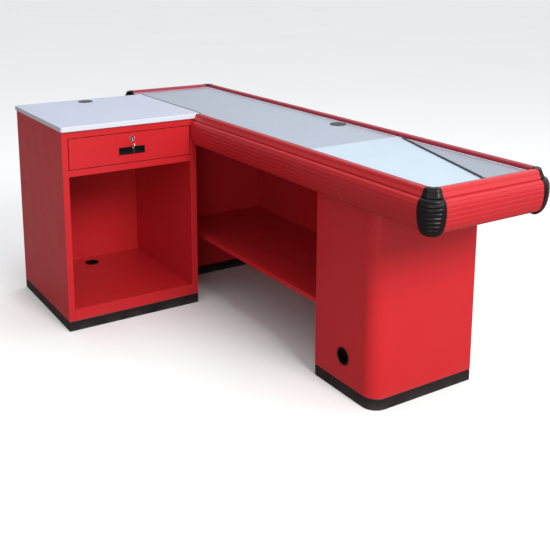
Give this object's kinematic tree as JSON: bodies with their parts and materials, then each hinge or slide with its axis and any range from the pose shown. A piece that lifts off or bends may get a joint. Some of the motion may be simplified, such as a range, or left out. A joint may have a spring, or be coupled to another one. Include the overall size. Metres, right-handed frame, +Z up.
{
  "type": "checkout counter",
  "caption": "Red checkout counter with a cash cabinet, lockable drawer and a steel goods deck edged by bumper rails",
  "frame": {"origin": "centre of the bounding box's bottom face, on the floor", "axes": "+X along the deck towards the packing end, +Y towards the customer's side, +Z up"},
  "size_m": [2.237, 1.098, 0.852],
  "materials": {
    "red_paint": "glossy red powder coat",
    "red_bumper": "ribbed red plastic bumper",
    "black_plastic": "black moulded plastic",
    "black_plinth": "black plastic kickboard",
    "pale_laminate": "pale grey-blue laminate",
    "deck_steel": "satin stainless sheet",
    "bright_steel": "bright satin stainless sheet",
    "frame_steel": "dark painted steel tube",
    "zinc_steel": "zinc-plated steel",
    "chrome": "polished chrome plate",
    "board": "chipboard, edges hidden by the bumpers"
  },
  "bodies": {
    "counter": {"cabinet_left_side": "red_paint", "cabinet_right_side": "red_paint", "cabinet_back": "red_paint", "cabinet_top_rail": "red_paint", "cabinet_rear_rail": "red_paint", "drawer_bay_floor": "red_paint", "cabinet_floor": "red_paint", "right_pedestal_wrap": "red_paint", "left_pedestal_wrap": "red_paint", "customer_panel": "red_paint", "storage_shelf": "red_paint", "shelf_bracket_left": "red_paint", "shelf_bracket_right": "red_paint", "near_rail": "red_bumper", "far_rail": "red_bumper", "packing_end_rail": "red_bumper", "cabinet_end_rail": "red_bumper", "corner_cap_near_packing": "black_plastic", "corner_cap_far_packing": "black_plastic", "corner_cap_near_cabinet": "black_plastic", "corner_cap_far_cabinet": "black_plastic", "worktop_grommet": "black_plastic", "worktop_grommet_cap": "black_plastic", "floor_grommet": "black_plastic", "deck_grommet": "black_plastic", "deck_grommet_cap": "black_plastic", "pedestal_grommet": "black_plastic", "cabinet_plinth_wrap": "black_plinth", "cabinet_plinth_front": "black_plinth", "right_plinth_wrap": "black_plinth", "left_plinth_wrap": "black_plinth", "customer_plinth": "black_plinth", "cabinet_worktop": "pale_laminate", "deck_plate": "deck_steel", "packing_plate_far": "deck_steel", "packing_plate_near": "bright_steel", "deck_beam_near": "frame_steel", "deck_beam_far": "frame_steel", "deck_cross_member_cabinet_end": "frame_steel", "deck_cross_member_left": "frame_steel", "deck_cross_member_right": "frame_steel", "deck_cross_member_packing_end": "frame_steel", "joining_spacer_upper": "frame_steel", "joining_spacer_lower": "frame_steel", "drawer_runner_left": "zinc_steel", "drawer_runner_right": "zinc_steel", "divider_pivot_pin": "chrome", "deck_board": "board"},
    "drawer": {"drawer_front": "red_paint", "drawer_pull": "black_plastic", "drawer_box": "zinc_steel", "drawer_slide_bar_left": "zinc_steel", "drawer_slide_bar_right": "zinc_steel", "lock_barrel": "chrome"},
    "lock": {"lock_plug": "chrome", "lock_cam": "zinc_steel", "key": "chrome"},
    "hanging_key": {"key_ring": "chrome", "spare_key": "chrome"},
    "divider": {"goods_divider": "frame_steel"}
  },
  "joints": [
    {"name": "drawer_slide", "type": "slide", "parent": "counter", "child": "drawer", "axis": [1, 0, 0], "range_m": [0, 0.38]},
    {"name": "lock_turn", "type": "hinge", "parent": "drawer", "child": "lock", "pos_m": [-0.349, -0.2505, 0.7757], "axis": [1, 0, 0], "range_deg": [0, 90]},
    {"name": "spare_key_swing", "type": "hinge", "parent": "lock", "child": "hanging_key", "pos_m": [-0.331, -0.2505, 0.7669], "axis": [1, 0, 0], "range_deg": [-115, 25]},
    {"name": "divider_swing", "type": "hinge", "parent": "counter", "child": "divider", "pos_m": [1.044, 0.2945, 0.838], "axis": [0, 0, 1], "range_deg": [0, 36]}
  ]
}
